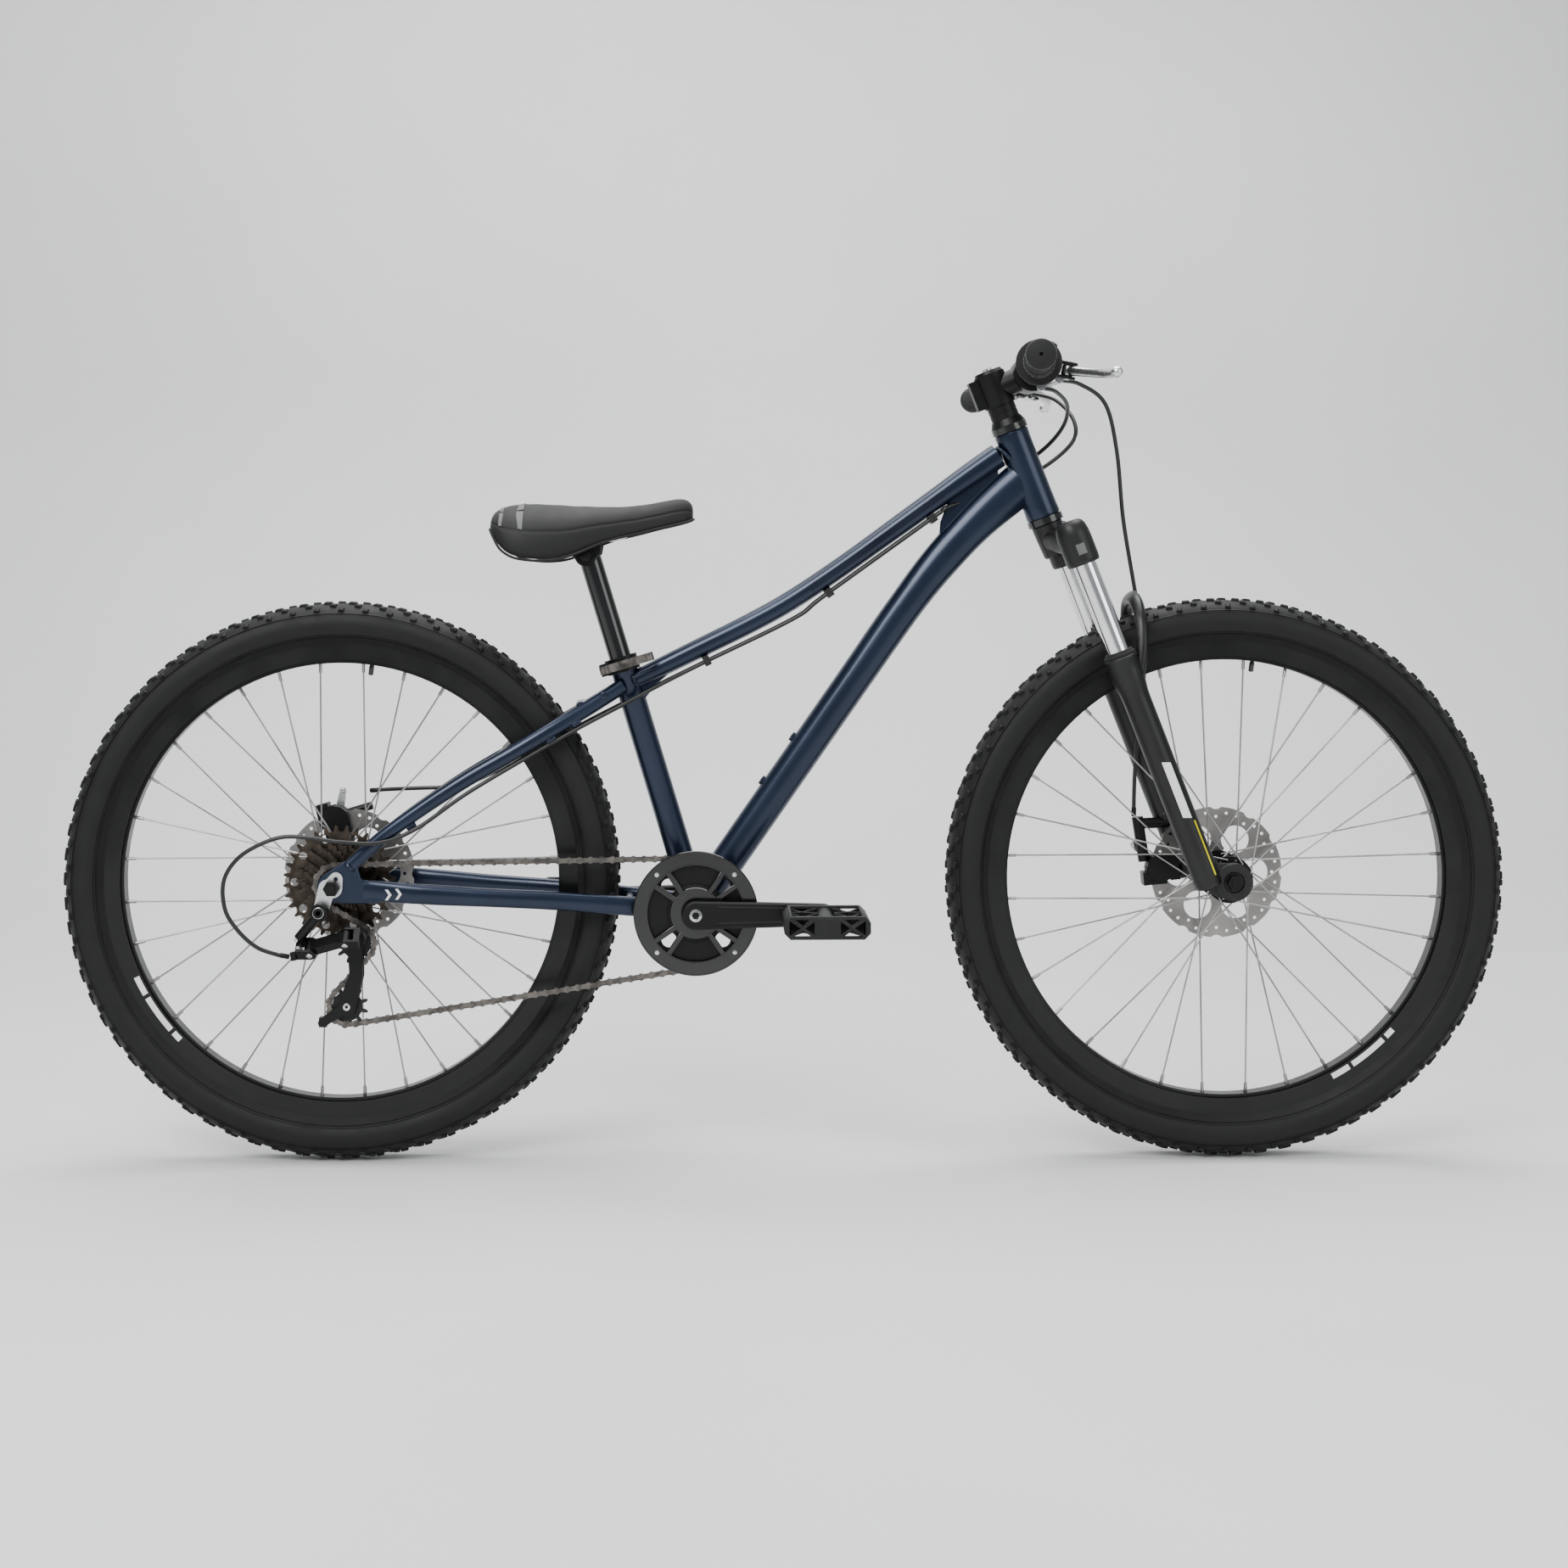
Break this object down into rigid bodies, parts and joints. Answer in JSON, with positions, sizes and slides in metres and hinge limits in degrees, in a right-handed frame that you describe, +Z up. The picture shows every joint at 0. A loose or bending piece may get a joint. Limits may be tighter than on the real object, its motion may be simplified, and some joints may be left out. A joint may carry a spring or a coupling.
{
  "type": "mountain bike",
  "caption": "Hardtail mountain bike with a sprung fork, disc brakes, a single chainring with guard, rear derailleur, twist shifter and quick-release seatpost",
  "frame": {"origin": "on the ground, midway between the two axles, in the plane of symmetry of the frame", "axes": "+X forward, +Y to the rider's left, +Z up"},
  "size_m": [1.738, 0.6364, 0.9744],
  "materials": {
    "frame_paint": "satin metallic navy paint",
    "silver_alloy": "brushed alloy",
    "black_alloy": "satin black anodised alloy",
    "black_casting": "matt black painted casting",
    "chrome": "polished chrome",
    "steel": "stainless steel",
    "tyre": "tyre rubber with small knobs",
    "rim": "satin black rim",
    "grip_rubber": "soft matt rubber",
    "black_plastic": "textured black plastic",
    "gloss_black": "gloss black",
    "vinyl": "matt grey-black vinyl",
    "cable": "black cable housing",
    "chain_steel": "oiled steel",
    "cog_steel": "brown oxide steel"
  },
  "bodies": {
    "frame": {"front_triangle": "frame_paint", "rear_triangle": "frame_paint", "derailleur_hanger": "silver_alloy", "headset_cups": "gloss_black", "bottom_bracket_cups": "silver_alloy", "seat_collar": "black_alloy", "cable_guides": "black_plastic", "frame_cables": "cable", "rear_brake_caliper": "black_casting", "rear_axle": "steel", "derailleur_mount": "gloss_black", "chain": "chain_steel"},
    "seat_lever": {"seat_collar_lever": "silver_alloy"},
    "seatpost": {"seatpost": "gloss_black", "saddle_clamp": "black_alloy", "saddle_rails": "steel", "saddle_base": "black_plastic", "saddle_cover": "vinyl"},
    "steering": {"fork_crown": "black_casting", "stanchions": "chrome", "headset_spacers": "gloss_black", "stem": "black_alloy", "cockpit_bolts": "silver_alloy", "handlebar": "black_alloy", "grips": "grip_rubber", "lever_mounts": "black_plastic", "steering_cables": "cable", "front_brake_cable": "cable"},
    "shifter": {"twist_shifter": "grip_rubber"},
    "right_lever": {"right_brake_lever": "silver_alloy"},
    "left_lever": {"left_brake_lever": "silver_alloy"},
    "fork_slider": {"fork_lowers": "black_casting", "fork_wipers": "grip_rubber", "front_brake_caliper": "black_casting", "front_axle": "steel"},
    "front_arm": {"front_caliper_arm": "silver_alloy"},
    "rear_arm": {"rear_caliper_arm": "silver_alloy"},
    "front_wheel": {"front_tyre": "tyre", "front_rim": "rim", "front_spokes": "steel", "front_hub": "black_alloy", "front_rotor": "steel"},
    "rear_wheel": {"rear_tyre": "tyre", "rear_rim": "rim", "rear_spokes": "steel", "rear_hub": "black_alloy", "rear_rotor": "steel"},
    "freewheel": {"freewheel": "cog_steel"},
    "crank": {"right_crank": "black_alloy", "left_crank": "black_alloy", "chainring": "chain_steel", "chainguard": "black_plastic", "pedal_axles": "steel"},
    "right_pedal": {"right_pedal": "black_plastic"},
    "left_pedal": {"left_pedal": "black_plastic"},
    "derailleur_arm": {"derailleur_arm": "gloss_black"},
    "derailleur_knuckle": {"derailleur_knuckle": "gloss_black"},
    "derailleur_cage": {"derailleur_cage": "gloss_black"},
    "guide_pulley": {"guide_pulley": "black_plastic"},
    "tension_pulley": {"tension_pulley": "black_plastic"}
  },
  "joints": [
    {"name": "steering", "type": "hinge", "parent": "frame", "child": "steering", "pos_m": [0.27767, 0, 0.8751], "axis": [-0.3584, 0, 0.9336], "range_deg": [-75, 75], "deforming": ["steering_cables"]},
    {"name": "fork_travel", "type": "slide", "parent": "steering", "child": "fork_slider", "axis": [-0.3584, 0, 0.9336], "range_m": [0, 0.08], "stiffness_N_per_m": 9000, "springref_m": -0.015, "deforming": ["front_brake_cable"]},
    {"name": "front_wheel_spin", "type": "hinge", "parent": "fork_slider", "child": "front_wheel", "pos_m": [0.532, 0, 0.337], "axis": [0, 1, 0], "continuous": true},
    {"name": "rear_wheel_spin", "type": "hinge", "parent": "frame", "child": "rear_wheel", "pos_m": [-0.532, 0, 0.337], "axis": [0, 1, 0], "continuous": true},
    {"name": "crank_spin", "type": "hinge", "parent": "frame", "child": "crank", "pos_m": [-0.105, 0, 0.3026], "axis": [0, 1, 0], "continuous": true, "deforming": ["chain"]},
    {"name": "freewheel_spin", "type": "hinge", "parent": "frame", "child": "freewheel", "pos_m": [-0.532, 0, 0.337], "axis": [0, 1, 0], "continuous": true},
    {"name": "right_pedal_spin", "type": "hinge", "parent": "crank", "child": "right_pedal", "pos_m": [0.045, -0.128, 0.3026], "axis": [0, 1, 0], "continuous": true},
    {"name": "left_pedal_spin", "type": "hinge", "parent": "crank", "child": "left_pedal", "pos_m": [-0.255, 0.128, 0.3026], "axis": [0, 1, 0], "continuous": true},
    {"name": "right_brake", "type": "hinge", "parent": "steering", "child": "right_lever", "pos_m": [0.3238, -0.14342, 0.93542], "axis": [-0.1891, 0.0491, -0.9807], "range_deg": [0, 14], "stiffness_Nm_per_rad": 1.5, "springref_deg": -5.73},
    {"name": "left_brake", "type": "hinge", "parent": "steering", "child": "left_lever", "pos_m": [0.3238, 0.14342, 0.93542], "axis": [0.1891, 0.0491, 0.9807], "range_deg": [0, 14], "stiffness_Nm_per_rad": 1.5, "springref_deg": -5.73},
    {"name": "front_caliper_pull", "type": "hinge", "parent": "fork_slider", "child": "front_arm", "pos_m": [0.464, 0.05, 0.343], "axis": [0, 1, 0], "range_deg": [0, 21]},
    {"name": "rear_caliper_pull", "type": "hinge", "parent": "frame", "child": "rear_arm", "pos_m": [-0.548, 0.065, 0.404], "axis": [0, 1, 0], "range_deg": [0, 21]},
    {"name": "gear_twist", "type": "hinge", "parent": "steering", "child": "shifter", "pos_m": [0.28303, -0.19881, 0.9405], "axis": [-0.1278, -0.9915, -0.025], "range_deg": [0, 96]},
    {"name": "derailleur_shift", "type": "hinge", "parent": "frame", "child": "derailleur_arm", "pos_m": [-0.558, -0.076, 0.266], "axis": [0, 0.7071, 0.7071], "range_deg": [0, 48], "deforming": ["chain"]},
    {"name": "derailleur_level", "type": "hinge", "parent": "derailleur_arm", "child": "derailleur_knuckle", "pos_m": [-0.51415, -0.0898, 0.27981], "axis": [0, 0.7071, 0.7071], "range_deg": [-48, 0]},
    {"name": "cage_tension", "type": "hinge", "parent": "derailleur_knuckle", "child": "derailleur_cage", "pos_m": [-0.503, -0.068, 0.277], "axis": [0, 1, 0], "range_deg": [-25, 0], "stiffness_Nm_per_rad": 0.8, "springref_deg": 34.38, "deforming": ["chain"]},
    {"name": "guide_pulley_spin", "type": "hinge", "parent": "derailleur_cage", "child": "guide_pulley", "pos_m": [-0.508, -0.052, 0.268], "axis": [0, 1, 0], "continuous": true},
    {"name": "tension_pulley_spin", "type": "hinge", "parent": "derailleur_cage", "child": "tension_pulley", "pos_m": [-0.51844, -0.052, 0.19373], "axis": [0, 1, 0], "continuous": true},
    {"name": "seatpost_height", "type": "slide", "parent": "frame", "child": "seatpost", "axis": [-0.2874, 0, 0.9578], "range_m": [-0.07, 0.06]},
    {"name": "seat_lever_turn", "type": "hinge", "parent": "frame", "child": "seat_lever", "pos_m": [-0.21305, -0.027, 0.58966], "axis": [0.2874, 0, -0.9578], "range_deg": [0, 150]}
  ],
  "couplings": [
    {"joint": "freewheel_spin", "follows": "crank_spin", "ratio": 2.6667},
    {"joint": "guide_pulley_spin", "follows": "crank_spin", "ratio": -2.9091},
    {"joint": "tension_pulley_spin", "follows": "crank_spin", "ratio": 2.9091},
    {"joint": "front_caliper_pull", "follows": "right_brake", "ratio": 1.5},
    {"joint": "rear_caliper_pull", "follows": "left_brake", "ratio": 1.5},
    {"joint": "derailleur_shift", "follows": "gear_twist", "ratio": 0.5},
    {"joint": "derailleur_level", "follows": "gear_twist", "ratio": -0.5}
  ]
}
